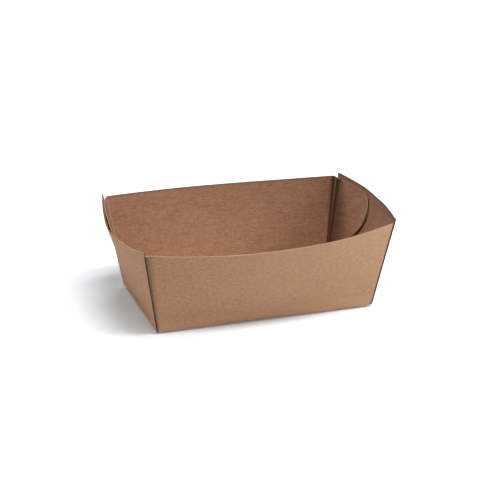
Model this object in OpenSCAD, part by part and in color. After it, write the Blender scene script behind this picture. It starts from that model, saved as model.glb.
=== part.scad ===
// Kraft paper food tray: one paperboard blank, creased, folded and glued at the corners.
// The origin is the middle of the underside; the long walls face front and back (-Y and +Y),
// and the end walls face left and right (-X and +X).

/* [Base] */
// Length of the flat base between its end creases
base_l = 105; // [80:1:150]
// Width of the flat base between its long creases
base_w = 59.2; // [45:0.1:90]

/* [Walls] */
// Length of the mouth from corner to corner
rim_l = 119.7; // [107:0.1:170]
// Width of the mouth from corner to corner
rim_w = 74.2; // [60:0.1:110]
// Height of the long walls at the corners
wall_h = 42.5; // [25:0.1:60]
// How much higher the end walls reach at the corners
end_rise = 1.45; // [0.5:0.05:4]
// How far the long walls bow out at the middle of the rim
long_bow = 9.6; // [0:0.1:14]
// How far the long walls' rim dips at its middle
long_dip = 2.5; // [0:0.1:6]
// How far the end walls bow out at the middle of the rim
end_bow = 6.6; // [0:0.1:12]
// How far the end walls' rim dips at its middle
end_dip = 2.6; // [0:0.1:6]
// How far one pair of opposite corners has sprung up, and the other pair down
corner_spring = 1; // [0:0.05:2]
// Lean of the long walls' bows to the sprung-up corners
long_lean = 0.1; // [0:0.05:0.5]
// Lean of the end walls' bows away from the sprung-up corners
end_lean = 0.25; // [0:0.05:0.5]

/* [Board and creases] */
// Thickness of the paperboard
board = 0.45; // [0.3:0.01:0.7]
// Inside radius of the creases round the base
crease_r = 0.45; // [0.1:0.05:1]
// Inside radius of the corner folds at their foot
corner_foot_r = 0.35; // [0.1:0.05:1]
// Inside radius of the corner folds at the rim
corner_rim_r = 1.4; // [0.3:0.1:3]
// Gap between the end walls' cut side edges and the faces of the long walls
edge_gap = 0.3; // [0.1:0.05:1]
// Height over which those side edges draw in to the corners of the base
corner_relief = 3; // [1:0.1:6]

/* [Glue flaps] */
// Bare strip left between the tips of the two flaps inside an end wall
flap_gap = 8.5; // [4:0.5:16]
// How far the flaps' top edge lies below the end wall's rim
flap_drop = 2.6; // [2:0.1:6]
// How much a flap's top edge nears that rim on its way to the tip
flap_rise = 0.8; // [0:0.1:1.2]
// Height at which the flaps' lower edge leaves the corner fold
flap_foot = 1.8; // [1.5:0.1:8]
// Radius of the flaps' round tip
flap_tip_r = 11; // [6:0.5:12]
// Glue line between the flaps and the end walls
glue_line = 0.1; // [0.05:0.01:0.2]
// How far the flaps' free edge stands off past the glue line
flap_lift = 0.6; // [0:0.05:1.5]

/* [Hidden] */

kraft = [0.70, 0.55, 0.42];

// Steps of the mesh along the long walls, across the base, up the long walls,
// up the end walls and round each fold
long_steps = 20;
base_steps = 14;
wall_steps = 11;
end_steps = 7;
fold_steps = 3;
// Power that crowds the steps up the end walls towards their foot
end_crowding = 1.6;
// Power that keeps the flaps' stand-off to their free edge
lift_power = 3;

// Small step in s and k for a face's slopes
slope_step = 0.001;
// Rows and columns past the edge of the base, folds included
edge_cols = fold_steps + end_steps;
edge_rows = fold_steps + wall_steps;
cols = 2 * edge_cols + long_steps;
rows = 2 * edge_rows + base_steps;

// Length of board that each crease of the base takes on either side
crease_set = board + crease_r;
// Share of the long walls' height at the top of the base crease
crease_top = crease_set / wall_h;
// The end walls follow the corner lines past the long walls' rim
end_reach = 1 + end_rise / wall_h;
// Length of an end wall up its side edge
end_slope = end_reach * norm([wall_h, (rim_l - base_l) / 2, (rim_w - base_w) / 2]);
// Shares of the end wall's height at the flaps' top edge and where their lower edge starts
flap_top = 1 - flap_drop / end_slope;
flap_low = flap_foot / end_slope;

function unit(v) = v / norm(v);
function mix(a, b, f) = a + (b - a) * f;
// Bow of a wall at s, which is 1 in its middle and 0 at its corners
function bow(s) = 1 - s * s;
// Half of the tray's length and width at share k of the height of the long walls' corners
function half_l(k) = mix(base_l, rim_l, k) / 2;
function half_w(k) = mix(base_w, rim_w, k) / 2;

// Outer face of a long wall: straight lines from the base crease to the rim.
// s runs along it from corner to corner, -1 to 1, and k up it, 0 to 1.
function long_face(side, s, k) = [
    s * half_l(k),
    side * (half_w(k) + k * long_bow * bow(s) * (1 - side * s * long_lean)),
    k * (wall_h - side * s * corner_spring - long_dip * bow(s))
];

// Outer face of an end wall, in the same way
function end_face(side, s, k) = [
    side * (half_l(k * end_reach) + k * end_bow * bow(s) * (1 + side * s * end_lean)),
    s * half_w(k * end_reach),
    k * (end_reach * (wall_h - side * s * corner_spring) - end_dip * bow(s))
];

// Outward direction of each face
function long_out(side, s, k) = side * unit(cross(
    long_face(side, s, k + slope_step) - long_face(side, s, k - slope_step),
    long_face(side, s + slope_step, k) - long_face(side, s - slope_step, k)
));
function end_out(side, s, k) = side * unit(cross(
    end_face(side, s + slope_step, k) - end_face(side, s - slope_step, k),
    end_face(side, s, k + slope_step) - end_face(side, s, k - slope_step)
));

// Points at a depth below each outer face
function long_at(side, s, k, depth) = long_face(side, s, k) - depth * long_out(side, s, k);
function end_at(side, s, k, depth) = end_face(side, s, k) - depth * end_out(side, s, k);

// Step from the edge where two faces meet to the edge of those faces at depths da and db
function edge_shift(na, nb, da, db) =
    let (c = na * nb)
    (na * (c * db - da) + nb * (c * da - db)) / (1 - c * c);

// Round fold from a to b, whose straight sides would meet at corner
function fold(a, corner, b, f) = (1 - f) * (1 - f) * a + 2 * f * (1 - f) * corner + f * f * b;

// Tangent length of a corner fold at share k of its height
function corner_set(k) = board + mix(corner_foot_r, corner_rim_r, k);
// Set-back of the long walls' ends from the corner line
function long_set(k) =
    let (
        low = flap_low * end_reach,
        at_low = board + glue_line + corner_set(low)
    )
    k < low ? mix(crease_set, at_low, k / low) : board + glue_line + corner_set(k);
// Set-back of the end walls' side edges from the corner line, drawn in round their foot
function end_set(k) = mix(edge_gap, crease_set, pow(max(0, 1 - k * wall_h / corner_relief), 2));

// Long wall panel: s from -1 to 1 between its two corner folds
function long_panel(side, s, k, depth) =
    long_at(side, s * (1 - long_set(k) / half_l(k)), k, depth);

// End wall panel, between its two cut edges
function end_panel(side, s, k, depth) =
    end_at(side, s * (1 - end_set(k) / half_w(k * end_reach)), k, depth);

// Base panel at its edges: underside at depth 0
function base_panel(x, y, depth) = [
    x * (base_l / 2 - crease_set),
    y * (base_w / 2 - crease_set),
    depth
];

// Crease between the base and a long wall
function long_crease(side, s, f, depth) =
    let (
        foot = s * (1 - crease_set / half_l(0)),
        corner = long_face(side, foot, 0) + edge_shift([0, 0, -1], long_out(side, foot, 0), depth, depth)
    )
    fold(base_panel(s, side, depth), corner, long_panel(side, s, crease_top, depth), f);

// Crease between the base and an end wall
function end_crease(side, s, f, depth) =
    let (
        foot = s * (1 - crease_set / half_w(0)),
        corner = end_face(side, foot, 0) + edge_shift([0, 0, -1], end_out(side, foot, 0), depth, depth)
    )
    fold(base_panel(side, s, depth), corner, end_panel(side, s, crease_top, depth), f);

// Flap outline, in millimetres from the end wall's middle and up its slope: straight lower and
// top edges leave the corner fold and run into the round tip.
tip = [flap_gap / 2 + flap_tip_r, flap_top * end_slope + flap_rise - flap_tip_r];
function flap_root(q) =
    let (k = mix(flap_low, flap_top, q))
    [half_w(k * end_reach) - corner_set(k * end_reach), k * end_slope];
low_way = tip - flap_root(0);
top_way = flap_root(1) - tip;
// Directions from the tip's middle to where the two edges touch its round
low_turn = atan2(low_way[1], low_way[0]) + asin(flap_tip_r / norm(low_way)) + 90;
top_turn = atan2(top_way[1], top_way[0]) - asin(flap_tip_r / norm(top_way)) + 90;
function flap_end(q) =
    let (turn = mix(low_turn, top_turn, q))
    tip + flap_tip_r * [cos(turn), sin(turn)];

// Flap: q runs up it and f out from its fold to its free edge
function flap(side_x, side_y, q, f, depth) =
    let (
        spot = mix(flap_root(q), flap_end(q), f),
        k = spot[1] / end_slope
    )
    end_at(side_x, side_y * spot[0] / half_w(k * end_reach), k,
        board + glue_line + flap_lift * pow(f, lift_power) + depth);

// Fold between a long wall and its flap. Its top edge falls from the wall's rim to the flap's top.
function corner_fold(side_x, side_y, q, f, depth) =
    let (
        low = flap_low * end_reach,
        k = mix(low, mix(1, flap_top * end_reach, f), q),
        shift = edge_shift(long_out(side_y, side_x, k), end_out(side_x, side_y, k / end_reach),
            depth, board + glue_line + depth)
    )
    fold(long_panel(side_y, side_x, k, depth),
        long_face(side_y, side_x, k) + shift,
        end_at(side_x, side_y * (1 - corner_set(k) / half_w(k)), k / end_reach,
            board + glue_line + depth),
        f);

// The flat blank is a grid of columns i and rows j, with the base in the middle.
// Steps past the base's edge, side of the base and place across the base
function past(i, edge, middle) = max(0, edge - i, i - edge - middle);
function side(i, edge, middle) = i < edge + middle / 2 ? -1 : 1;
function place(i, edge, middle) = max(-1, min(1, 2 * (i - edge) / middle - 1));

// Share k of a long wall's height at a step past the base crease: the first step ends
// where the flaps start, and the rest are even
function wall_share(step) =
    step == 0 ? crease_top : mix(flap_low * end_reach, 1, (step - 1) / (wall_steps - 1));

// Share k of an end wall's height at a step past the base crease: the steps are shorter low down,
// where the side edges draw in
function end_share(step) = mix(crease_top, 1, pow(step / end_steps, end_crowding));

// A point of the folded blank, at depth 0 on its outer face and at depth board on its inner one
function blank(i, j, depth) =
    let (
        px = past(i, edge_cols, long_steps),
        py = past(j, edge_rows, base_steps),
        side_x = side(i, edge_cols, long_steps),
        side_y = side(j, edge_rows, base_steps),
        x = place(i, edge_cols, long_steps),
        y = place(j, edge_rows, base_steps),
        q = (py - fold_steps - 1) / (wall_steps - 1)
    )
    px == 0 && py == 0 ? base_panel(x, y, depth)
    : px == 0 && py < fold_steps ? long_crease(side_y, x, py / fold_steps, depth)
    : px == 0 ? long_panel(side_y, x, wall_share(py - fold_steps), depth)
    : py == 0 && px < fold_steps ? end_crease(side_x, y, px / fold_steps, depth)
    : py == 0 ? end_panel(side_x, y, end_share(px - fold_steps), depth)
    : px < fold_steps ? corner_fold(side_x, side_y, max(0, q), px / fold_steps, depth)
    : flap(side_x, side_y, max(0, q), (px - fold_steps) / end_steps, depth);

// Is there board in the cell between columns i and i + 1 and rows j and j + 1?
// A slot parts each flap from its end wall, and takes in the corner of the base.
function in_base_cols(i) = i >= edge_cols && i < edge_cols + long_steps;
function in_base_rows(j) = j >= edge_rows && j < edge_rows + base_steps;
function in_flap_rows(j) = j < edge_rows - fold_steps - 1 || j > edge_rows + base_steps + fold_steps;
function has_board(i, j) =
    i >= 0 && i < cols && j >= 0 && j < rows
    && (in_base_cols(i) || in_base_rows(j) || in_flap_rows(j));
function is_base(i, j) = in_base_cols(i) && in_base_rows(j);

// Number of a point in the list: the outer face first, then the inner one
layer = (cols + 1) * (rows + 1);
function id(i, j, inner) = inner * layer + i * (rows + 1) + j;

// Two triangles for a cell, cut along its shorter diagonal
function cell_faces(p, i, j, inner) =
    let (
        a = id(i, j, inner),
        b = id(i + 1, j, inner),
        c = id(i + 1, j + 1, inner),
        d = id(i, j + 1, inner),
        short = norm(p[a] - p[c]) <= norm(p[b] - p[d]),
        pair = short ? [[a, b, c], [a, c, d]] : [[a, b, d], [b, c, d]]
    )
    [for (t = pair) inner == 0 ? t : [t[2], t[1], t[0]]];

// Cut edge of the board along the side of a cell from point a to point b of the outer face
function cut_faces(a, b) = [[b, a, a + layer], [b, a + layer, b + layer]];

module tray() {
    points = [
        for (inner = [0, 1], i = [0:cols], j = [0:rows]) blank(i, j, inner * board),
        [0, 0, 0],
        [0, 0, board]
    ];
    middle = 2 * layer;
    // The flat base is a fan of triangles about its middle
    ring = [
        for (i = [0:long_steps - 1]) [edge_cols + i, edge_rows],
        for (j = [0:base_steps - 1]) [edge_cols + long_steps, edge_rows + j],
        for (i = [0:long_steps - 1]) [edge_cols + long_steps - i, edge_rows + base_steps],
        for (j = [0:base_steps - 1]) [edge_cols, edge_rows + base_steps - j]
    ];
    fan = [
        for (n = [0:len(ring) - 1], inner = [0, 1])
            let (
                a = id(ring[n][0], ring[n][1], inner),
                next = ring[(n + 1) % len(ring)],
                b = id(next[0], next[1], inner)
            )
            inner == 0 ? [a, b, middle] : [b, a, middle + 1]
    ];
    cells = [
        for (i = [0:cols - 1], j = [0:rows - 1], inner = [0, 1])
            if (has_board(i, j) && !is_base(i, j))
                each cell_faces(points, i, j, inner)
    ];
    edges = [
        for (i = [0:cols - 1], j = [0:rows - 1])
            if (has_board(i, j))
                each [
                    if (!has_board(i, j - 1)) each cut_faces(id(i, j, 0), id(i + 1, j, 0)),
                    if (!has_board(i + 1, j)) each cut_faces(id(i + 1, j, 0), id(i + 1, j + 1, 0)),
                    if (!has_board(i, j + 1)) each cut_faces(id(i + 1, j + 1, 0), id(i, j + 1, 0)),
                    if (!has_board(i - 1, j)) each cut_faces(id(i, j + 1, 0), id(i, j, 0))
                ]
    ];
    color(kraft) polyhedron(points = points, faces = concat(fan, cells, edges), convexity = 8);
}

tray();
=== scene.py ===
import math

import bpy
import numpy as np
from bpy.props import FloatProperty, FloatVectorProperty, IntProperty, PointerProperty
from mathutils import Matrix, Vector


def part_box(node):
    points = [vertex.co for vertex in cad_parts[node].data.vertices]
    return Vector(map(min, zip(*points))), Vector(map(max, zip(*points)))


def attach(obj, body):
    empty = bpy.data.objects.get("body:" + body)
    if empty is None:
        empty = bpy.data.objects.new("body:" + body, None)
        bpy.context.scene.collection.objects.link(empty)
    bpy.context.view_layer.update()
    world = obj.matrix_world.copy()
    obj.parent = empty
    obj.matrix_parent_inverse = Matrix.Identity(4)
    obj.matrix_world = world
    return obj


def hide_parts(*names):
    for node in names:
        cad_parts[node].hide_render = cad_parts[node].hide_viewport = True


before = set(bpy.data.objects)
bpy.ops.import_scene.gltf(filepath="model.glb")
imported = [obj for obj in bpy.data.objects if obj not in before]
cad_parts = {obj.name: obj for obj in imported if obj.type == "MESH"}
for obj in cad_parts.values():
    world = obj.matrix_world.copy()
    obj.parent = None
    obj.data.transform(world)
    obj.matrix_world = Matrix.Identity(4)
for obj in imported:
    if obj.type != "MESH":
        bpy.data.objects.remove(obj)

bl_info = {
    "name": "Kraft Food Tray",
    "version": (1, 0, 0),
    "blender": (4, 5, 0),
    "location": "View3D > Sidebar > Food Tray",
    "description": "Folds a kraft paperboard food tray from one blank and stages it",
    "category": "Object",
}

TRAY_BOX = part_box("tray")
OUTSIDE, INSIDE = 0, 1

# Tones of the cut edges, 0 pale and 1 dark. A pair is the tone at the front and at the back,
# and BACK_BLEND is the length, in metres, over which one turns into the other.
RIGHT_RIM_TONES, LEFT_RIM_TONES = (0.7, 0.9), (0.1, 1.0)
SIDE_EDGE_TONE, BACK_RIM_TONE = 1.0, 0.6
FLAP_TONE, DARK_FLAP_TONE = 0.2, 0.6
BACK_BLEND = 0.03

# The painted shadow line beside a flap's free edge slides under the flap, by up to LINE_SHIFT
# metres, where the edge's outward direction rises by more than EDGE_RISE. CLEAR is a distance at
# which no edge has any effect.
LINE_SHIFT, EDGE_RISE, EDGE_TURN = 0.001, 0.3, 2
CLEAR = 1.0

# Steepest bend between two faces that is still shaded smooth, in degrees.
SMOOTH_ANGLE = 50


def length(name, description, default):
    """A size in metres, shown in scene units."""
    return FloatProperty(name=name, description=description, default=default,
                         subtype="DISTANCE", unit="LENGTH", precision=5)


def tint(name, description, default):
    """A colour, in linear light."""
    return FloatVectorProperty(name=name, description=description, default=default,
                               subtype="COLOR", size=3, min=0.0, max=1.0)


def plain(name, description, default):
    """A plain number."""
    return FloatProperty(name=name, description=description, default=default)


def steps(name, description, default):
    """A number of steps."""
    return IntProperty(name=name, description=description, default=default)


class TraySize(bpy.types.PropertyGroup):
    """Sizes of the folded tray. The walls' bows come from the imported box."""

    base_length: length("Base length", "Flat base between its end creases", 0.105)
    base_width: length("Base width", "Flat base between its long creases", 0.0592)
    rim_length: length("Mouth length", "Mouth from corner to corner, along the tray", 0.1197)
    rim_width: length("Mouth width", "Mouth from corner to corner, across the tray", 0.0742)
    wall_height: length("Wall height", "Height of the long walls at the corners", 0.0425)
    end_rise: length("End rise", "How much higher the end walls reach at the corners", 0.00145)
    long_dip: length("Long dip", "Dip of the long walls' rim at its middle", 0.0025)
    end_dip: length("End dip", "Dip of the end walls' rim at its middle", 0.0026)
    corner_spring: length("Corner spring", "How far two opposite corners have sprung up", 0.001)
    long_lean: plain("Long lean", "Lean of the long walls' bows to the sprung-up corners", 0.1)
    end_lean: plain("End lean", "Lean of the end walls' bows away from those corners", 0.25)
    board: length("Board", "Thickness of the paperboard", 0.00045)
    crease_radius: length("Crease radius", "Inside radius of the creases round the base", 0.00045)
    corner_foot_radius: length("Corner radius, foot", "Inside radius of a corner fold's foot", 0.00035)
    corner_rim_radius: length("Corner radius, rim", "Inside radius of a corner fold at the rim", 0.0014)
    edge_gap: length("Edge gap", "Set-back of the end walls' cut side edges", 0.0003)
    corner_relief: length("Corner relief", "Height of the end walls' drawn-in feet", 0.003)
    flap_gap: length("Flap gap", "Bare strip between the tips of two flaps", 0.0085)
    flap_drop: length("Flap drop", "Flap's top edge below the end wall's rim", 0.0026)
    flap_rise: length("Flap rise", "How much that edge nears the rim towards the tip", 0.0008)
    flap_foot: length("Flap foot", "Height where a flap's lower edge starts", 0.0018)
    flap_tip_radius: length("Flap tip radius", "Radius of a flap's round tip", 0.011)
    glue_line: length("Glue line", "Glue between a flap and its end wall", 0.0001)
    flap_lift: length("Flap lift", "How far a flap's free edge stands off", 0.0006)
    channel: length("Crease channel", "Depth that a crease is crushed to inside", 0.00022)
    ridge: length("Crease ridge", "Height of the thin ridge along a crushed crease", 0.00034)
    ripple: length("Ripple", "Unevenness of the walls", 0.00018)
    edge_fuzz: length("Edge fuzz", "How far the cut edges swell at their middle", 0.00003)


class TrayMesh(bpy.types.PropertyGroup):
    """Steps of the mesh on each panel of the blank."""

    long_steps: steps("Long steps", "Steps along a long wall", 96)
    base_steps: steps("Base steps", "Steps across the base", 60)
    wall_steps: steps("Wall steps", "Steps up a long wall", 44)
    end_steps: steps("End steps", "Steps up an end wall", 36)
    fold_steps: steps("Fold steps", "Steps round a fold", 16)
    cut_steps: steps("Cut steps", "Steps across a cut edge", 3)


class BoardLook(bpy.types.PropertyGroup):
    """Colours of the kraft board, in linear light."""

    outside: tint("Outside", "Outer face of the board", (0.455, 0.247, 0.139))
    inside: tint("Inside", "Inner face of the board", (0.376, 0.187, 0.105))
    cut_edge: tint("Cut edge", "Pale cut edges of the board", (0.420, 0.270, 0.175))
    # Dark edge also colours the painted shade round the outer corner folds; crushed also colours the
    # painted shade and shadows on the inner face; pale fibre also colours painted light and highlights.
    dark_edge: tint("Dark edge", "Darkest cut edges of the board", (0.078, 0.048, 0.031))
    crushed: tint("Crushed", "Board in the crushed folds, inside", (0.050, 0.018, 0.005))
    pale_fibre: tint("Pale fibre", "Palest fibres", (0.62, 0.42, 0.27))
    dark_fibre: tint("Dark fibre", "Darkest fibres", (0.20, 0.105, 0.055))


class StageLook(bpy.types.PropertyGroup):
    """Soft boxes' powers in watts, the strength of the white surroundings, and the floor's gap."""

    strip_power: plain("Strip", "Long strip over the front", 9.3)
    top_power: plain("Top", "Soft box overhead", 5.0)
    side_power: plain("Side", "Soft box low on the right", 10.8)
    left_power: plain("Left", "Soft box low on the left", 2.6)
    back_power: plain("Back", "Soft box high at the back", 3.0)
    far_power: plain("Far", "Soft box at the back on the left", 2.25)
    floor_gap: length("Floor gap", "Gap under the base, which isn't quite flat", 0.0008)
    room: plain("Room", "Light of the white surroundings", 0.0)


def unit(v):
    """Vectors of length 1 in the last axis."""
    return v / np.linalg.norm(v, axis=-1, keepdims=True)


def mix(a, b, f):
    """Straight mix from a to b."""
    return a + (b - a) * f


def points(x, y, z):
    """Three arrays that broadcast together, as an array of points."""
    return np.stack(np.broadcast_arrays(x, y, z), axis=-1).astype(float)


def bell(x, middle, width):
    """Bump of height 1 at middle, falling off over width."""
    return np.exp(-((x - middle) / width) ** 2)


def crowd(t, share=0.65):
    """Steps from 0 to 1 that are closer together near both ends."""
    return t - share * np.sin(2 * np.pi * t) / (2 * np.pi)


class FoldedBlank:
    """The blank as a grid of columns and rows with the base in its middle, folded up.

    A wall is a ruled surface: straight lines from the base crease, which is straight, to the
    rim. At s along it, -1 to 1, the rim bows out by (1 - s * s) * (1 + lean * s) and dips by
    1 - s * s. A fold is a quadratic curve between the faces that it joins. Each point is found
    on the board's outer face, at depth 0, and on its inner face, a board's thickness further in
    along the face's own direction.
    """

    SLOPE_STEP = 1e-3
    BOW_SAMPLES = 401
    PANEL_CROWDING = 0.8
    # Sines of the ripple: height, turns along and up the wall, side's turn, share of the phase.
    RIPPLES = ((1.0, 5.3, 0.0, 1.7, 1), (0.6, 9.1, 0.0, -2.1, 2), (0.5, 3.1, 4.0, 0.0, 1))
    LONG_PHASE, END_PHASE = 0.4, 2.9
    # Most that the channel and the ridge of a crushed fold may be, and the ridge's width, as
    # shares of the fold's width.
    CHANNEL_SHARE, RIDGE_SHARE, RIDGE_WIDTH = 0.1, 0.15, 0.13
    # Half of a corner fold's width, as a share of its tangent length, the unit of length along
    # a flap, and the places of points that have no fold or crease near them.
    FOLD_HALF = 0.7
    FLAP_MEASURE = 1e-3
    NO_FOLD, NO_CREASE = -99.0, 99

    def __init__(self, size, mesh):
        for group in (size, mesh):
            for name in type(group).__annotations__:
                setattr(self, name, getattr(group, name))
        self.end_reach = 1 + self.end_rise / self.wall_height
        s = np.linspace(-1, 1, self.BOW_SAMPLES)
        self.long_bow = (TRAY_BOX[1].y - self.rim_width / 2) / self.bow(s, self.long_lean).max()
        bulge = TRAY_BOX[1].x - self.half_length(self.end_reach)
        self.end_bow = bulge / self.bow(s, self.end_lean).max()
        self.crease_set = self.board + self.crease_radius
        self.crease_top = self.crease_set / self.wall_height
        rise = [self.wall_height, (self.rim_length - self.base_length) / 2,
                (self.rim_width - self.base_width) / 2]
        self.end_slope = self.end_reach * math.hypot(*rise)
        self.flap_top = 1 - self.flap_drop / self.end_slope
        self.flap_low = self.flap_foot / self.end_slope

    def half_length(self, k):
        """Half of the tray's length between its corner lines, k up the long walls."""
        return mix(self.base_length, self.rim_length, k) / 2

    def half_width(self, k):
        """Half of its width between them."""
        return mix(self.base_width, self.rim_width, k) / 2

    @staticmethod
    def bow(s, lean):
        """Outward bow at s, which is 1 in the middle and leans towards one end."""
        return (1 - s ** 2) * (1 + lean * s)

    def uneven(self, side, s, k, phase):
        """Slow ripple of a wall: the sum of three sines. It fades to nothing at the wall's
        corners and foot."""
        waves = sum(height * np.sin(along * s + up * k + turn * side + share * phase)
                    for height, along, up, turn, share in self.RIPPLES)
        return self.ripple * waves * (1 - s ** 2) * k

    def long_face(self, side, s, k):
        """Outer face of a long wall: s along it, -1 to 1, and k up it, 0 to 1."""
        out = self.half_width(k) + k * self.long_bow * self.bow(s, -side * self.long_lean)
        out = out + self.uneven(side, s, k, self.LONG_PHASE)
        up = self.wall_height - side * s * self.corner_spring - self.long_dip * (1 - s ** 2)
        return points(s * self.half_length(k), side * out, k * up)

    def end_face(self, side, s, k):
        """Outer face of an end wall, in the same way."""
        out = self.half_length(k * self.end_reach) + k * self.end_bow * self.bow(s, side * self.end_lean)
        out = out + self.uneven(side, s, k, self.END_PHASE)
        up = self.end_reach * (self.wall_height - side * s * self.corner_spring)
        return points(side * out, s * self.half_width(k * self.end_reach),
                      k * (up - self.end_dip * (1 - s ** 2)))

    def outward(self, face, turn, side, s, k):
        """Outward direction of a face: the cross product of its two slopes."""
        step = self.SLOPE_STEP
        along = face(side, s + step, k) - face(side, s - step, k)
        up = face(side, s, k + step) - face(side, s, k - step)
        return unit(np.cross(along, up) * np.asarray(turn * side)[..., None])

    def long_out(self, side, s, k):
        """Outward direction of a long wall."""
        return self.outward(self.long_face, -1, side, s, k)

    def end_out(self, side, s, k):
        """Outward direction of an end wall."""
        return self.outward(self.end_face, 1, side, s, k)

    def long_at(self, side, s, k, depth):
        """A point at a depth in a long wall."""
        return self.long_face(side, s, k) - depth * self.long_out(side, s, k)

    def end_at(self, side, s, k, depth):
        """A point at a depth in an end wall, or past it, where the flaps lie."""
        depth = np.asarray(depth)[..., None]
        return self.end_face(side, s, k) - depth * self.end_out(side, s, k)

    @staticmethod
    def edge_shift(na, nb, da, db):
        """Step from the edge where two faces meet to where they meet at depths da and db."""
        c = (na * nb).sum(-1, keepdims=True)
        return (na * (c * db - da) + nb * (c * da - db)) / (1 - c * c)

    def fold(self, a, corner, b, f, depth):
        """Fold from a to b. Outside it is round: the quadratic curve with its middle point at
        corner. Inside, the board is crushed to a channel with a thin ridge along it: a chord,
        less a half sine for the channel, plus a bell for the ridge."""
        f = f[..., None]
        if depth == 0:
            return (1 - f) ** 2 * a + 2 * f * (1 - f) * corner + f ** 2 * b
        middle = (a + b) / 2
        width = np.linalg.norm(b - a, axis=-1, keepdims=True)
        channel = np.minimum(self.channel, self.CHANNEL_SHARE * width) * np.sin(np.pi * f)
        ridge = np.minimum(self.ridge, self.RIDGE_SHARE * width) * bell(f, 0.5, self.RIDGE_WIDTH)
        return mix(a, b, f) + unit(middle - corner) * (ridge - channel)

    def corner_set(self, k):
        """Tangent length of a corner fold."""
        return self.board + mix(self.corner_foot_radius, self.corner_rim_radius, k)

    def long_set(self, k):
        """Set-back of a long wall's ends from the corner line."""
        low = self.flap_low * self.end_reach
        lead = self.board + self.glue_line
        foot = mix(self.crease_set, lead + self.corner_set(low), k / low)
        return np.where(k < low, foot, lead + self.corner_set(k))

    def end_set(self, k):
        """Set-back of an end wall's side edges: even, and drawn in round the foot."""
        foot = np.clip(1 - k * self.wall_height / self.corner_relief, 0, 1) ** 2
        return mix(self.edge_gap, self.crease_set, foot)

    def long_panel(self, side, s, k, depth):
        """A long wall between its corner folds."""
        return self.long_at(side, s * (1 - self.long_set(k) / self.half_length(k)), k, depth)

    def end_panel(self, side, s, k, depth):
        """An end wall between its side edges."""
        inset = self.end_set(k) / self.half_width(k * self.end_reach)
        return self.end_at(side, s * (1 - inset), k, depth)

    def base_panel(self, x, y, depth):
        """The base between its creases."""
        return points(x * (self.base_length / 2 - self.crease_set),
                      y * (self.base_width / 2 - self.crease_set), depth)

    def crease(self, face, out, half, panel, start, side, s, f, depth):
        """Crease from the base to a wall."""
        foot = s * (1 - self.crease_set / half)
        level = np.zeros_like(foot)
        down = np.array([0.0, 0.0, -1.0])
        corner = face(side, foot, level) + self.edge_shift(down, out(side, foot, level), depth, depth)
        return self.fold(start, corner, panel(side, s, level + self.crease_top, depth), f, depth)

    def flap_root(self, q):
        """Where a flap leaves its fold, in metres from the end wall's middle and up its slope."""
        k = mix(self.flap_low, self.flap_top, q)
        across = self.half_width(k * self.end_reach) - self.corner_set(k * self.end_reach)
        return np.stack([across, k * self.end_slope], axis=-1)

    def flap_spot(self, q, f):
        """A flap's outline is a straight lower edge, a round tip and a straight top edge.
        Straight rows join its root to the round tip, which both edges meet as tangents."""
        radius = self.flap_tip_radius
        top = self.flap_top * self.end_slope + self.flap_rise
        tip = np.array([self.flap_gap / 2 + radius, top - radius])
        low = tip - self.flap_root(np.array(0.0))
        high = self.flap_root(np.array(1.0)) - tip
        low_turn = math.atan2(low[1], low[0]) + math.asin(radius / math.hypot(*low))
        high_turn = math.atan2(high[1], high[0]) - math.asin(radius / math.hypot(*high))
        turn = mix(low_turn, high_turn, q) + math.pi / 2
        tip_edge = tip + radius * np.stack([np.cos(turn), np.sin(turn)], axis=-1)
        return mix(self.flap_root(q), tip_edge, f[..., None])

    def flap(self, side_x, side_y, q, f, depth):
        """A flap inside an end wall: q up its root, and f from there to its tip. It lifts off
        by the cube of f."""
        spot = self.flap_spot(q, f)
        k = spot[..., 1] / self.end_slope
        lift = self.board + self.glue_line + self.flap_lift * f ** 3 + depth
        return self.end_at(side_x, side_y * spot[..., 0] / self.half_width(k * self.end_reach), k, lift)

    def corner_fold(self, side_x, side_y, q, f, depth):
        """Fold from a long wall to its flap, whose top edge falls to the flap's top."""
        low = self.flap_low * self.end_reach
        k = mix(low, mix(1, self.flap_top * self.end_reach, f), q)
        under = self.board + self.glue_line + depth
        shift = self.edge_shift(self.long_out(side_y, side_x, k),
                                self.end_out(side_x, side_y, k / self.end_reach), depth, under)
        root = side_y * (1 - self.corner_set(k) / self.half_width(k))
        return self.fold(self.long_panel(side_y, side_x, k, depth),
                         self.long_face(side_y, side_x, k) + shift,
                         self.end_at(side_x, root, k / self.end_reach, under), f, depth)

    @staticmethod
    def axis(edge, middle, share):
        """For each line of the grid along one axis: steps past the base, side and place."""
        i = np.arange(2 * edge + middle + 1)
        past = np.maximum(0, np.maximum(edge - i, i - edge - middle))
        place = 2 * crowd(np.clip((i - edge) / middle, 0, 1), share) - 1
        return past, np.where(i < edge + middle / 2, -1, 1), place

    def lines(self):
        """The grid's columns and rows, as arrays over all of its points."""
        edge_cols = self.fold_steps + self.end_steps
        edge_rows = self.fold_steps + self.wall_steps
        across = self.axis(edge_cols, self.long_steps, self.PANEL_CROWDING)
        down = self.axis(edge_rows, self.base_steps, self.PANEL_CROWDING)
        px, side_x, x = (a[:, None] + 0 * down[0][None, :] for a in across)
        py, side_y, y = (a[None, :] + 0 * across[0][:, None] for a in down)
        return px, py, side_x, side_y, x, y

    def shares(self, px, py):
        """Share of each panel's height or of each fold's turn, at steps px and py past the base."""
        fold = self.fold_steps
        up_end = crowd(np.clip((px - fold) / self.end_steps, 0, 1))
        up_long = crowd(np.clip((py - fold - 1) / (self.wall_steps - 1), 0, 1))
        end_k = mix(self.crease_top, 1, up_end)
        long_k = np.where(py <= fold, self.crease_top, mix(self.flap_low * self.end_reach, 1, up_long))
        return up_end, up_long, end_k, long_k

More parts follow.
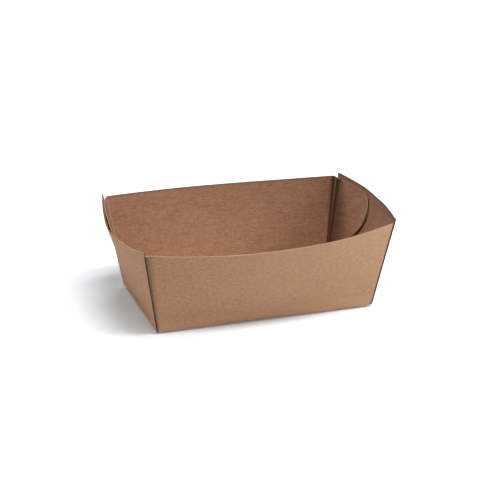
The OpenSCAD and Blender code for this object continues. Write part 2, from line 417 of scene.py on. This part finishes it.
    def zones(self, px, py):
        """Which points lie on each panel and fold."""
        fold = self.fold_steps
        return {
            "base": (px == 0) & (py == 0),
            "long_crease": (px == 0) & (py > 0) & (py < fold),
            "long_wall": (px == 0) & (py >= fold),
            "end_crease": (py == 0) & (px > 0) & (px < fold),
            "end_wall": (py == 0) & (px >= fold),
            "corner_fold": (px > 0) & (px < fold) & (py > fold),
            "flap": (px >= fold) & (py > fold),
        }

    def places(self, layer):
        """The folded grid's points on one layer, panel by panel."""
        depth = self.board * layer
        px, py, side_x, side_y, x, y = self.lines()
        up_end, up_long, end_k, long_k = self.shares(px, py)
        turn_x, turn_y = px / self.fold_steps, py / self.fold_steps
        spot = np.zeros(px.shape + (3,))
        for name, m in self.zones(px, py).items():
            if name == "base":
                spot[m] = self.base_panel(x[m], y[m], depth)
            elif name == "long_crease":
                start = self.base_panel(x[m], side_y[m], depth)
                spot[m] = self.crease(self.long_face, self.long_out, self.half_length(0),
                                      self.long_panel, start, side_y[m], x[m], turn_y[m], depth)
            elif name == "end_crease":
                start = self.base_panel(side_x[m], y[m], depth)
                spot[m] = self.crease(self.end_face, self.end_out, self.half_width(0),
                                      self.end_panel, start, side_x[m], y[m], turn_x[m], depth)
            elif name == "long_wall":
                spot[m] = self.long_panel(side_y[m], x[m], long_k[m], depth)
            elif name == "end_wall":
                spot[m] = self.end_panel(side_x[m], y[m], end_k[m], depth)
            elif name == "corner_fold":
                spot[m] = self.corner_fold(side_x[m], side_y[m], up_long[m], turn_x[m], depth)
            else:
                spot[m] = self.flap(side_x[m], side_y[m], up_long[m], up_end[m], depth)
        return spot

    def flat(self, outer):
        """Where each point lies on the flat blank, in metres, with the base in the middle.
        Walls unfold outwards from their creases. A flap turns about its own corner line, from
        the end wall's plane to the long wall's."""
        px, py, side_x, side_y = self.lines()[:4]
        up_end, up_long, end_k, long_k = self.shares(px, py)
        fold, reach = self.fold_steps, self.end_reach
        long_slope = math.hypot(self.wall_height, (self.rim_width - self.base_width) / 2)
        in_turn = mix(-self.crease_set, self.crease_set, np.minimum(px, fold) / fold)
        run_x = np.where(px < fold, in_turn, end_k * self.end_slope)
        in_turn = mix(-self.crease_set, self.crease_set, np.minimum(py, fold) / fold)
        run_y = np.where(py < fold, in_turn, long_k * long_slope)
        u = np.where(px == 0, outer[..., 0], side_x * (self.base_length / 2 + run_x))
        v = np.where(py == 0, outer[..., 1], side_y * (self.base_width / 2 + run_y))
        m = (px > 0) & (py > fold)
        end_line = unit(np.array([self.half_width(reach) - self.half_width(0), self.end_slope]))
        long_line = unit(np.array([self.half_length(reach) - self.half_length(0), reach * long_slope]))
        rel = self.flap_spot(up_long[m], up_end[m]) - [self.half_width(0), 0]
        along = rel @ end_line
        away = rel @ [-end_line[1], end_line[0]]
        u_flap = self.half_length(0) + along * long_line[0] + away * long_line[1]
        v_flap = self.half_width(0) + along * long_line[1] - away * long_line[0]
        turn = np.clip(px[m] / fold, 0, 1)
        wall_u = self.half_length(long_k[m]) - self.long_set(long_k[m])
        wall_v = self.half_width(0) + long_k[m] * long_slope
        u[m] = side_x[m] * mix(wall_u, u_flap, turn)
        v[m] = side_y[m] * mix(wall_v, v_flap, turn)
        return np.stack([u, v], axis=-1)

    def crease_place(self, flat):
        """Distance from the base crease that bounds the panel, counted in its half widths: 0
        along its middle and 1 along its hinge lines."""
        px, py, *_ = self.lines()
        to_end = np.abs(np.abs(flat[..., 0]) - self.half_length(0))
        to_long = np.abs(np.abs(flat[..., 1]) - self.half_width(0))
        far = self.NO_CREASE * self.crease_set
        to_end, to_long = np.where(py == 0, to_end, far), np.where(px == 0, to_long, far)
        return np.minimum(to_end, to_long) / self.crease_set

    def fold_place(self, outer):
        """Distance round the nearest corner fold, from -1 where the long wall starts it, by 0
        in its middle, to 1 where the flap ends it, and on in millimetres along the flap."""
        px, py, *_ = self.lines()
        k = outer[..., 2] / self.wall_height
        half = self.FOLD_HALF * self.corner_set(k)
        wall = self.half_length(k) - self.long_set(k) - np.abs(outer[..., 0])
        root = self.half_width(k) - self.corner_set(k) - np.abs(outer[..., 1])
        on_wall = -1 - np.maximum(0, wall) / half
        on_flap = 1 + np.maximum(0, root) / self.FLAP_MEASURE
        place = np.where(px == 0, on_wall, np.where(px < self.fold_steps,
                                                    2 * px / self.fold_steps - 1, on_flap))
        return np.where(py > self.fold_steps, place, self.NO_FOLD)

    def edge_tone(self, outer):
        """How dark and grey each cut edge is, from 0 to 1: the end walls' side edges most, then
        their rims at the back and right, and the back wall's rim. The flaps' edges are pale but
        for the front right one, and so is the front rim."""
        px, py, side_x, _, _, y = self.lines()
        back = np.clip(0.5 + outer[..., 1] / BACK_BLEND, 0, 1)
        right = side_x > 0
        end = (py == 0) & (px > 0)
        end_rim = np.where(right, mix(*RIGHT_RIM_TONES, back), mix(*LEFT_RIM_TONES, back))
        tone = np.where(end, end_rim, 0.0)
        tone = np.where(end & (np.abs(y) == 1), SIDE_EDGE_TONE, tone)
        flap_tone = np.where(right & (y < 0), DARK_FLAP_TONE, FLAP_TONE)
        tone = np.where((px >= self.fold_steps) & (py > self.fold_steps), flap_tone, tone)
        return np.where((px == 0) & (py > 0), BACK_RIM_TONE * back, tone)

    def cells(self):
        """Cells of the grid that hold board. A slot parts each flap from its end wall, and
        takes in the corners of the base."""
        px, py, *_ = self.lines()
        base_col = (px[1:, 1:] == 0) & (px[:-1, 1:] == 0)
        base_row = (py[1:, 1:] == 0) & (py[1:, :-1] == 0)
        flap_row = np.minimum(py[1:, 1:], py[1:, :-1]) > self.fold_steps
        return base_col | base_row | flap_row


def cut_line(has):
    """Directed edges of the grid where the board ends, with the board on their left: the ends
    of each edge as two arrays of point numbers."""
    rows = has.shape[1] + 1
    i, j = np.meshgrid(np.arange(has.shape[0]), np.arange(has.shape[1]), indexing="ij")
    a, b, c, d = i * rows + j, (i + 1) * rows + j, (i + 1) * rows + j + 1, i * rows + j + 1
    ring = np.pad(has, 1)
    ends = []
    for start, end, beyond in ((a, b, ring[1:-1, :-2]), (b, c, ring[2:, 1:-1]),
                               (c, d, ring[1:-1, 2:]), (d, a, ring[:-2, 1:-1])):
        m = has & ~beyond
        ends.append((start[m], end[m]))
    return tuple(np.concatenate(e) for e in zip(*ends))


def nearest(spots, edge, parts=32):
    """Distance from each spot to the nearest point of an edge, and that point's number. The
    spots are worked through in parts, which keeps the arrays small."""
    squares = [((p[:, None] - edge[None]) ** 2).sum(-1) for p in np.array_split(spots, parts)]
    return (np.sqrt(np.concatenate([q.min(1) for q in squares])),
            np.concatenate([q.argmin(1) for q in squares]))


def past_edge(spots, edge, outwards):
    """How far spots on an end wall lie past the nearest point of a flap's free edge: their step
    from it, dotted with the edge's outward direction there. Where that direction rises, a shift
    is added that takes the line where this is 0 under the flap."""
    _, near = nearest(spots, edge)
    out = outwards[near]
    shift = LINE_SHIFT * np.clip(EDGE_TURN * (out[:, 2] - EDGE_RISE), 0, 1)
    return ((spots - edge[near]) * out).sum(-1) + shift


def board_values(tray, outer, inner, flat, used, line, outwards):
    """Named values of the grid's points: the distance to the cut edge, the edge's tone there,
    how far past a flap's free edge a point is, its place in the crease and in the fold near
    it, and its height."""
    plane, count = flat.reshape(-1, 2), flat.shape[0] * flat.shape[1]
    rim, tone = np.zeros(count), np.zeros(count)
    rim[used], near = nearest(plane[used], plane[line])
    tone[used] = tray.edge_tone(outer).ravel()[line][near]
    zones = {name: m.ravel() for name, m in tray.zones(*tray.lines()[:2]).items()}
    rim[zones["flap"]] = CLEAR
    walls, free = zones["end_wall"], zones["flap"][line]
    beyond = np.full(count, CLEAR)
    beyond[walls] = past_edge(inner.reshape(-1, 3)[walls], outer.reshape(-1, 3)[line][free],
                              outwards[free])
    return {"rim": rim, "tone": tone, "beyond": beyond,
            "crease": tray.crease_place(flat).ravel(), "fold": tray.fold_place(outer).ravel(),
            "height": outer[..., 2].ravel() / tray.wall_height}


def fold_board(tray):
    """The folded board as one closed mesh: the outer and inner layers of the grid, and a cut
    edge between them, whose cross-section swells by a half sine."""
    outer, inner = tray.places(OUTSIDE), tray.places(INSIDE)
    flat = tray.flat(outer)
    has = tray.cells()
    rows = has.shape[1] + 1
    count = outer.shape[0] * outer.shape[1]
    i, j = np.nonzero(has)
    a, b, c, d = i * rows + j, (i + 1) * rows + j, (i + 1) * rows + j + 1, i * rows + j + 1
    outside = np.stack([a, d, c, b], axis=1)
    inside = np.stack([a, b, c, d], axis=1) + count

    start, end = cut_line(has)
    layer_a, layer_b = outer.reshape(-1, 3), inner.reshape(-1, 3)
    middle = (layer_a + layer_b) / 2
    away = np.cross(middle[end] - middle[start], (layer_b - layer_a)[start])
    swell = np.zeros_like(middle)
    for spot in (start, end):
        np.add.at(swell, spot, unit(away))
    line = np.unique(start)
    outwards = unit(swell[line])
    levels = np.arange(1, tray.cut_steps + 1) / (tray.cut_steps + 1)
    share = levels[:, None, None]
    cut = mix(layer_a[line], layer_b[line], share)
    cut = cut + outwards * tray.edge_fuzz * np.sin(np.pi * share)
    order = np.zeros(count, int)
    order[line] = np.arange(len(line))
    base_ids = 2 * count + np.arange(len(levels))[:, None] * len(line)
    ids_a, ids_b = (np.vstack([spot[None], base_ids + order[spot], spot[None] + count])
                    for spot in (start, end))
    edges = np.stack([ids_a[:-1], ids_b[:-1], ids_b[1:], ids_a[1:]], axis=-1).reshape(-1, 4)

    spots = np.concatenate([layer_a, layer_b, cut.reshape(-1, 3)])
    faces = np.concatenate([outside, inside, edges])
    kinds = np.repeat([0, 1, 2], [len(outside), len(inside), len(edges)])
    plane = flat.reshape(-1, 2)
    fields = board_values(tray, outer, inner, flat, np.unique(outside), line, outwards)
    repeat = len(levels)
    values = {name: np.concatenate([v, v, np.tile(v[line], repeat)]) for name, v in fields.items()}
    values["depth"] = np.concatenate([np.zeros(count), np.ones(count), np.repeat(levels, len(line))])
    blank = np.concatenate([plane, plane, np.tile(plane[line], (repeat, 1))])
    return make_mesh("tray_board", spots, faces, kinds, values, blank)


def make_mesh(name, spots, faces, kinds, values, blank):
    """An object from whole arrays: points, quads, each quad's material, named values of the
    points, and the points' places on the flat blank as a UV map in metres."""
    used, faces = np.unique(faces, return_inverse=True)
    faces = faces.reshape(-1, 4)
    mesh = bpy.data.meshes.new(name)
    mesh.vertices.add(len(used))
    mesh.vertices.foreach_set("co", spots[used].astype(np.float32).ravel())
    mesh.loops.add(faces.size)
    mesh.loops.foreach_set("vertex_index", faces.astype(np.int32).ravel())
    mesh.polygons.add(len(faces))
    mesh.polygons.foreach_set("loop_start", np.arange(0, faces.size, 4, dtype=np.int32))
    mesh.polygons.foreach_set("material_index", kinds.astype(np.int32))
    mesh.update(calc_edges=True)
    for title, value in values.items():
        layer = mesh.attributes.new(title, "FLOAT", "POINT")
        layer.data.foreach_set("value", value[used].astype(np.float32))
    uv = mesh.uv_layers.new(name="blank")
    uv.data.foreach_set("uv", blank[used][faces.ravel()].astype(np.float32).ravel())
    mesh.shade_smooth()
    mesh.set_sharp_from_angle(angle=math.radians(SMOOTH_ANGLE))
    if mesh.validate():
        raise RuntimeError(f"{name} has faces that Blender had to mend")
    piece = bpy.data.objects.new(name, mesh)
    bpy.context.scene.collection.objects.link(piece)
    return piece


class Value:
    """A node's output. Arithmetic on it adds Math nodes."""

    def __init__(self, nodes, socket):
        self.nodes, self.socket = nodes, socket

    def math(self, operation, *values):
        """A Math node over the given values."""
        return self.nodes.add("ShaderNodeMath", {"operation": operation}, dict(enumerate(values)))

    def __add__(self, other):
        return self.math("ADD", self, other)

    def __sub__(self, other):
        return self.math("SUBTRACT", self, other)

    def __rsub__(self, other):
        return self.math("SUBTRACT", other, self)

    def __mul__(self, other):
        return self.math("MULTIPLY", self, other)

    def __truediv__(self, other):
        return self.math("DIVIDE", self, other)

    __radd__ = __add__
    __rmul__ = __mul__

    def bell(self, middle, width):
        """Bump of height 1 at middle, falling off over width."""
        away = (self - middle) / width
        return self.math("POWER", math.e, away * away * -1.0)

    def step(self, low, high):
        """Smooth step from 0 at low to 1 at high."""
        return self.nodes.add("ShaderNodeMapRange", {"interpolation_type": "SMOOTHSTEP"},
                              {"Value": self, "From Min": low, "From Max": high})


class Nodes:
    """The nodes of a material or a world."""

    def __init__(self, owner):
        owner.use_nodes = True
        self.tree = owner.node_tree
        self.tree.nodes.clear()

    def add(self, kind, settings=None, values=None, output=0):
        """Adds a node, sets it up, gives its sockets their values or links, and returns one
        of its outputs."""
        node = self.tree.nodes.new(kind)
        for name, value in (settings or {}).items():
            setattr(node, name, value)
        for name, value in (values or {}).items():
            if isinstance(value, Value):
                self.tree.links.new(value.socket, node.inputs[name])
            else:
                node.inputs[name].default_value = value
        return Value(self, node.outputs[output]) if node.outputs else None

    def attribute(self, name):
        """One of the mesh's named values, as a number."""
        return self.add("ShaderNodeAttribute", {"attribute_name": name}, output=2)

    def vector(self, operation, *values):
        """A Vector Math node over the given values."""
        return self.add("ShaderNodeVectorMath", {"operation": operation}, dict(enumerate(values)))

    def noise(self, vector, scale, detail=2.0, rough=0.5):
        """Noise, 0 to 1."""
        return self.add("ShaderNodeTexNoise", {"noise_dimensions": "3D"},
                        {"Vector": vector, "Scale": scale, "Detail": detail, "Roughness": rough})

    def blend(self, share, a, b):
        """Mix of two colours. The Mix node's colour sockets are its inputs 6 and 7, output 2."""
        return self.add("ShaderNodeMix", {"data_type": "RGBA"}, {0: share, 6: a, 7: b}, output=2)


def rgba(colour, level=1.0):
    """A colour for a node socket, at a level."""
    return (*(c * level for c in colour), 1.0)


# Scales of the noise in the board, per metre along the grain, across it and through the board.
MOTTLE, FINE = (520.0, 850.0, 1.0), (1500.0, 3000.0, 1.0)
GRAIN = {OUTSIDE: (600.0, 1900.0, 1.0), INSIDE: (260.0, 1700.0, 1.0)}
# How the pale, the dark and the thin fibres are turned from the grain, and their noise's scales.
FIBRES = ((0.62, (520.0, 2900.0, 1.0)), (-0.71, (480.0, 3100.0, 1.0)), (0.05, (900.0, 5200.0, 1.0)))
CLOUD_SCALE, WANDER_SCALE, SPECK_SCALE = 95.0, 420.0, 300.0
WANDER = 0.0016
# How far off the inner face's pattern is taken, so that it isn't the outer face's.
SIDE_STEP = (0.37, 0.11, 0.5)
# In metres: where the painted shadow line beside a flap's free edge lies and its width, the width
# of the shade beside a cut edge, half the length over which left turns into right, and the same
# for the painted light that grows towards the right along the tray, and the depth of the relief.
LINE_PLACE, LINE_WIDTH, EDGE_SHADE = 0.00018, 0.00026, 0.0007
RIGHT_BLEND, PAINTED_LIGHT_BLEND, RELIEF_DEPTH = 0.01, 0.06, 0.00006


def kraft_values(nodes, side):
    """What the fibres of the board do at each point. The grain runs along the tray, so noise on
    the flat blank is stretched along it. Thin ridges of stretched noise are single fibres."""
    blank = nodes.add("ShaderNodeUVMap", {"uv_map": "blank"})
    place = nodes.vector("ADD", blank, tuple(step * side for step in SIDE_STEP))
    wander = nodes.noise(place, WANDER_SCALE)
    sway = nodes.add("ShaderNodeCombineXYZ", values={"Y": (wander - 0.5) * WANDER})
    place = nodes.vector("ADD", place, sway)
    strands = []
    for turn, size in FIBRES:
        turned = nodes.add("ShaderNodeMapping",
                           values={"Vector": place, "Rotation": (0.0, 0.0, turn)})
        wave = nodes.noise(nodes.vector("MULTIPLY", turned, size), 1.0, 1.0) * 2.0 - 1.0
        strands.append((1.0 - wave.math("ABSOLUTE", wave)).step(0.86, 0.97))
    return {
        "cloud": nodes.noise(place, CLOUD_SCALE),
        "mottle": nodes.noise(nodes.vector("MULTIPLY", place, MOTTLE), 1.0, 3.0, 0.7),
        "grain": nodes.noise(nodes.vector("MULTIPLY", place, GRAIN[side]), 1.0, 3.0, 0.6),
        "fine": nodes.noise(nodes.vector("MULTIPLY", place, FINE), 1.0, 2.0, 0.6),
        "pale": strands[0],
        "dark": strands[1],
        "thin": strands[2],
        "place": place,
        "blank": blank,
    }


def kraft_board(nodes, k, colour, look):
    """Colour of the plain board: cloudy brown, with pale and dark fibres and specks."""
    tone = k["cloud"] * 0.3 + k["mottle"] * 1.8 + k["grain"] * 1.6 + k["fine"] * 1.3 - 2.0
    base = nodes.blend(tone.math("MAXIMUM", tone.math("MINIMUM", tone, 1.0), 0.0),
                       rgba(colour, 0.74), rgba(colour, 1.26))
    base = nodes.blend(k["pale"] * 0.14, base, rgba(look.pale_fibre))
    dark = rgba(look.dark_fibre)
    base = nodes.blend(k["dark"] * 0.14, base, dark)
    base = nodes.blend(k["thin"] * 0.10, base, dark)
    cell = {"Vector": k["place"], "Scale": SPECK_SCALE}
    near = nodes.add("ShaderNodeTexVoronoi", {"feature": "F1"}, cell)
    tint_of_cell = nodes.add("ShaderNodeTexVoronoi", {"feature": "F1"}, cell, output=1)
    pick = nodes.add("ShaderNodeSeparateColor", values={"Color": tint_of_cell})
    specks = (1.0 - near.step(0.06, 0.16)) * pick.step(0.86, 0.9)
    return nodes.blend(specks * 0.45, base, dark)


def inside_painted_light_and_marks(nodes, base, right, look):
    """Painted light, shade and marks on the inner face: painted shade deepening up the walls, a
    painted shadow beside the flaps' free edges, crushed folds darkened both as crushed board and by
    painted shade, past which a painted shadow fades along the right-hand flaps, painted shade over
    the left-hand flaps, a painted highlight along each fold's ridge, the base creases' hinge lines
    darkened as crushed board and by painted shade, and darker bands beside the cut edges."""
    fold, height = nodes.attribute("fold"), nodes.attribute("height")
    beyond, rim, edge = (nodes.attribute(name) for name in ("beyond", "rim", "tone"))
    crushed = rgba(look.crushed)
    # Painted shade that deepens up the walls, but not on the flaps.
    base = nodes.blend(height.step(0.1, 1.0) * (1.0 - fold.step(0.0, 4.0)) * 0.2, base, crushed)
    # Painted shadow of the gap beside each flap's free edge.
    base = nodes.blend(beyond.bell(LINE_PLACE, LINE_WIDTH) * 0.85, base, crushed)
    # Painted shadow beside the right-hand corner folds, fading along the flaps and wider lower down, and
    # painted shade over the left-hand flaps.
    fade = (fold - 1.0) / ((1.0 - height) * 22.0 + 4.0)
    shade = fold.step(-2.5, -0.6) * (1.0 - fade.step(0.0, 1.0)) * right
    shade = shade * 0.6 + fold.step(0.0, 2.0) * (1.0 - right) * 0.55
    base = nodes.blend(shade, base, crushed)
    # The folds' channels: darker as crushed board and by painted shade.
    channels = fold.step(-1.6, -0.8) * (1.0 - fold.step(0.8, 2.6)) * (1.0 - fold.bell(0.0, 0.2))
    base = nodes.blend(channels * right * 0.78, base, crushed)
    # Painted highlight along each fold's ridge.
    base = nodes.blend(fold.bell(0.0, 0.14) * 0.3, base, rgba(look.pale_fibre))
    # Base creases' hinge lines: darker as crushed board and by painted shade.
    base = nodes.blend(nodes.attribute("crease").bell(1.0, 0.3) * 0.35, base, crushed)
    return nodes.blend(rim.bell(0.0, EDGE_SHADE) * (edge * 0.7 + 0.15), base, rgba(look.dark_edge))


def outside_painted_light(nodes, base, along, right, colour, look):
    """Painted light and shade on the outer face: painted shade round the corner folds, most on the
    left, painted light over the base creases and growing towards the right, and a painted highlight
    along the middle of each base crease."""
    fold, crease, dark = nodes.attribute("fold"), nodes.attribute("crease"), rgba(look.dark_edge)
    # Painted shade round the corner folds, with more on the left-hand band.
    base = nodes.blend(fold.step(-1.1, 0.3) * 0.35, base, dark)
    base = nodes.blend(fold.step(-2.6, -0.8) * (1.0 - right) * 0.24, base, dark)
    # Painted light over the base creases.
    base = nodes.blend((1.0 - crease.step(0.5, 9.0)) * 0.45, base, rgba(colour, 1.6))
    # Painted light, growing towards the right.
    painted_light_right = along.step(-PAINTED_LIGHT_BLEND, PAINTED_LIGHT_BLEND)
    base = nodes.blend(painted_light_right * 0.2, base, rgba(look.pale_fibre, 1.2))
    # Painted highlight along the middle of each base crease.
    return nodes.blend(crease.bell(0.0, 0.5) * 0.1, base, rgba(look.pale_fibre))


def kraft_face(name, colour, look, side):
    """Face of the board, with the painted light and shade and the marks of its own side, and its fibres
    as a fine relief.
    """
    material = bpy.data.materials.new(name)
    nodes = Nodes(material)
    k = kraft_values(nodes, side)
    base = kraft_board(nodes, k, colour, look)
    along = nodes.add("ShaderNodeSeparateXYZ", values={"Vector": k["blank"]})
    right = along.step(-RIGHT_BLEND, RIGHT_BLEND)
    if side == INSIDE:
        base = inside_painted_light_and_marks(nodes, base, right, look)
    else:
        base = outside_painted_light(nodes, base, along, right, colour, look)
    relief = k["mottle"] * 0.8 + k["grain"] * 0.9 + k["fine"] * 0.7 + k["pale"] * 0.3 - k["dark"] * 0.25
    bump = nodes.add("ShaderNodeBump",
                     values={"Height": relief, "Strength": 0.6, "Distance": RELIEF_DEPTH})
    surface = nodes.add("ShaderNodeBsdfPrincipled", values={
        "Base Color": base, "Roughness": k["fine"] * 0.16 + 0.74, "Normal": bump,
        "Specular IOR Level": 0.3})
    nodes.add("ShaderNodeOutputMaterial", values={"Surface": surface})
    return material


# Layers of plies over the board's thickness, the scale of the fibres in them, per metre, and
# the depth of their relief, in metres.
PLY_LAYERS, PLY_SCALE, PLY_DEPTH = 9.0, (900.0, 900.0, 1.0), 0.00008


def kraft_cut(name, look):
    """Cut edge of the board: its plies show as thin lines along it, between 0 and 1 of depth."""
    material = bpy.data.materials.new(name)
    nodes = Nodes(material)
    blank = nodes.add("ShaderNodeUVMap", {"uv_map": "blank"})
    depth, tone = nodes.attribute("depth"), nodes.attribute("tone")
    layers = nodes.add("ShaderNodeCombineXYZ", values={"Z": depth * PLY_LAYERS})
    spot = nodes.vector("ADD", nodes.vector("MULTIPLY", blank, PLY_SCALE), layers)
    plies = nodes.noise(spot, 1.0, 3.0, 0.6)
    layer = plies.step(0.25, 0.75)
    pale = nodes.blend(layer, rgba(look.cut_edge, 0.72), rgba(look.cut_edge, 1.25))
    dark = nodes.blend(layer, rgba(look.dark_edge, 0.7), rgba(look.dark_edge, 1.3))
    bump = nodes.add("ShaderNodeBump", values={"Height": plies, "Strength": 0.6, "Distance": PLY_DEPTH})
    surface = nodes.add("ShaderNodeBsdfPrincipled", values={
        "Base Color": nodes.blend(tone, pale, dark), "Roughness": plies * 0.1 + 0.85,
        "Normal": bump, "Specular IOR Level": 0.2})
    nodes.add("ShaderNodeOutputMaterial", values={"Surface": surface})
    return material


class TRAY_OT_fold_board(bpy.types.Operator):
    """Fold the kraft board into the tray"""

    bl_idname = "tray.fold_board"
    bl_label = "Fold Board"

    def execute(self, context):
        scene = context.scene
        piece = fold_board(FoldedBlank(scene.tray_size, scene.tray_mesh))
        look = scene.tray_look
        piece.data.materials.append(kraft_face("kraft_outside", look.outside, look, OUTSIDE))
        piece.data.materials.append(kraft_face("kraft_inside", look.inside, look, INSIDE))
        piece.data.materials.append(kraft_cut("kraft_cut_edge", look))
        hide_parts("tray")
        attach(piece, "root")
        return {"FINISHED"}


# The camera, fitted to the photograph's 500 pixels. Its sensor is in millimetres.
AZIMUTH, ELEVATION, ROLL = math.radians(-18.369), math.radians(21.902), math.radians(0.267)
CAMERA_DISTANCE = 0.89991
CAMERA_TARGET = (0.0, 0.0, 0.021431)
FOCAL_PIXELS, FRAME_PIXELS, SENSOR = 1906.46, 500, 36.0
PICTURE_MIDDLE = (246.467, 253.202)
CLIP_NEAR, CLIP_FAR = 0.01, 50.0

WHITE = (1.0, 1.0, 1.0)
# Each soft box: its middle, its width and height, the direction of its width, and its colour.
LAMPS = {
    "strip": ((0.14, -0.41, 1.2), (0.95, 0.17), (1.0, 0.0, 0.0), WHITE),
    "top": ((0.16, -0.10, 1.2), (0.6, 0.2), (1.0, 0.0, 0.0), WHITE),
    "side": ((1.12, -0.46, 0.7), (0.8, 0.5), (0.4, 0.9, 0.0), (0.97, 1.0, 1.03)),
    "left": ((-1.15, 0.35, 0.3), (0.6, 0.3), (0.0, 1.0, 0.0), (0.84, 1.0, 1.2)),
    "back": ((0.2, 0.75, 1.15), (0.6, 0.45), (1.0, 0.0, 0.0), WHITE),
    "far": ((-0.70, 0.98, 0.74), (0.4, 0.4), (1.0, 1.0, 0.0), WHITE),
}
# Half of the floor's side, and its colour: to the camera, with a glow, and to other light.
FLOOR_HALF = 4.0
FLOOR_SEEN, FLOOR_GLOW, FLOOR_BOUNCE = (0.91, 0.97, 0.99), 0.15, (0.93, 0.93, 0.93)


def camera_axes():
    """Right, up and back directions of the camera, rolled a little."""
    back = Vector((math.sin(AZIMUTH) * math.cos(ELEVATION),
                   -math.cos(AZIMUTH) * math.cos(ELEVATION), math.sin(ELEVATION)))
    right = Vector((math.cos(AZIMUTH), math.sin(AZIMUTH), 0.0))
    up = back.cross(right)
    turned = math.cos(ROLL) * right + math.sin(ROLL) * up
    return turned, math.cos(ROLL) * up - math.sin(ROLL) * right, back


def place_camera():
    """Camera at the photograph's viewing angle."""
    data = bpy.data.cameras.new("view")
    data.sensor_width = SENSOR
    data.lens = FOCAL_PIXELS * SENSOR / FRAME_PIXELS
    data.shift_x = (FRAME_PIXELS / 2 - PICTURE_MIDDLE[0]) / FRAME_PIXELS
    data.shift_y = (PICTURE_MIDDLE[1] - FRAME_PIXELS / 2) / FRAME_PIXELS
    data.clip_start, data.clip_end = CLIP_NEAR, CLIP_FAR
    camera = bpy.data.objects.new("view", data)
    right, up, back = camera_axes()
    turn = Matrix((right, up, back)).transposed().to_4x4()
    camera.matrix_world = Matrix.Translation(Vector(CAMERA_TARGET) + CAMERA_DISTANCE * back) @ turn
    bpy.context.scene.collection.objects.link(camera)
    bpy.context.scene.camera = camera


def place_lamp(name, power):
    """One of the soft boxes, facing the tray."""
    spot, (width, height), across, colour = LAMPS[name]
    data = bpy.data.lights.new(name, "AREA")
    data.shape = "RECTANGLE"
    data.size, data.size_y = width, height
    data.energy, data.color = power, colour
    lamp = bpy.data.objects.new(name, data)
    back = (Vector(spot) - Vector(CAMERA_TARGET)).normalized()
    right = (Vector(across) - Vector(across).dot(back) * back).normalized()
    turn = Matrix((right, back.cross(right), back)).transposed().to_4x4()
    lamp.matrix_world = Matrix.Translation(spot) @ turn
    bpy.context.scene.collection.objects.link(lamp)


def white_floor():
    """Floor that is white to the camera and a little darker to the light that it sends back."""
    material = bpy.data.materials.new("white_floor")
    nodes = Nodes(material)
    seen = nodes.add("ShaderNodeLightPath", output="Is Camera Ray")
    plain = nodes.add("ShaderNodeBsdfDiffuse", values={"Color": rgba(FLOOR_BOUNCE)})
    white = nodes.add("ShaderNodeBsdfPrincipled", values={
        "Base Color": rgba(FLOOR_SEEN), "Roughness": 1.0, "Specular IOR Level": 0.0,
        "Emission Color": rgba(WHITE), "Emission Strength": FLOOR_GLOW})
    surface = nodes.add("ShaderNodeMixShader", values={0: seen, 1: plain, 2: white})
    nodes.add("ShaderNodeOutputMaterial", values={"Surface": surface})
    return material


def white_room(strength):
    """White surroundings: full white where they are seen, and of a strength of their own, which
    may be 0, as a light."""
    world = bpy.data.worlds.new("room")
    bpy.context.scene.world = world
    nodes = Nodes(world)
    rays = [nodes.add("ShaderNodeLightPath", output=n)
            for n in ("Is Camera Ray", "Is Glossy Ray", "Is Transmission Ray")]
    seen = rays[0].math("MAXIMUM", rays[0], rays[1].math("MAXIMUM", rays[1], rays[2]))
    dim, full = (nodes.add("ShaderNodeBackground", values={"Color": rgba(WHITE), "Strength": level})
                 for level in (strength, 1.0))
    surface = nodes.add("ShaderNodeMixShader", values={0: seen, 1: dim, 2: full})
    nodes.add("ShaderNodeOutputWorld", values={"Surface": surface})


class TRAY_OT_set_stage(bpy.types.Operator):
    """Set up the floor, the white surroundings, the soft boxes and the camera"""

    bl_idname = "tray.set_stage"
    bl_label = "Set Stage"

    def execute(self, context):
        stage = context.scene.tray_stage
        mesh = bpy.data.meshes.new("floor")
        corners = [(x * FLOOR_HALF, y * FLOOR_HALF, -stage.floor_gap)
                   for x, y in ((-1, -1), (1, -1), (1, 1), (-1, 1))]
        mesh.from_pydata(corners, [], [(0, 1, 2, 3)])
        mesh.materials.append(white_floor())
        floor = bpy.data.objects.new("floor", mesh)
        context.scene.collection.objects.link(floor)
        white_room(stage.room)
        for name in LAMPS:
            place_lamp(name, getattr(stage, f"{name}_power"))
        place_camera()
        context.scene.view_settings.view_transform = "Standard"
        return {"FINISHED"}


class TRAY_PT_panel(bpy.types.Panel):
    """Makes the tray and its stage"""

    bl_label = "Food Tray"
    bl_idname = "TRAY_PT_panel"
    bl_space_type = "VIEW_3D"
    bl_region_type = "UI"
    bl_category = "Food Tray"

    def draw(self, context):
        for group in (context.scene.tray_size, context.scene.tray_look, context.scene.tray_stage):
            box = self.layout.box()
            for name in type(group).__annotations__:
                box.prop(group, name)
        self.layout.operator(TRAY_OT_fold_board.bl_idname)
        self.layout.operator(TRAY_OT_set_stage.bl_idname)


GROUPS = {"tray_size": TraySize, "tray_mesh": TrayMesh, "tray_look": BoardLook, "tray_stage": StageLook}
CLASSES = (*GROUPS.values(), TRAY_OT_fold_board, TRAY_OT_set_stage, TRAY_PT_panel)


def register():
    """Registers the classes and gives the scene its groups of values."""
    for cls in CLASSES:
        bpy.utils.register_class(cls)
    for name, group in GROUPS.items():
        setattr(bpy.types.Scene, name, PointerProperty(type=group))


def unregister():
    """Undoes register."""
    for name in GROUPS:
        delattr(bpy.types.Scene, name)
    for cls in reversed(CLASSES):
        bpy.utils.unregister_class(cls)


def main():
    """Makes the tray and its stage."""
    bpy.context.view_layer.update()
    register()
    bpy.ops.tray.fold_board()
    bpy.ops.tray.set_stage()


if __name__ == "__main__":
    main()
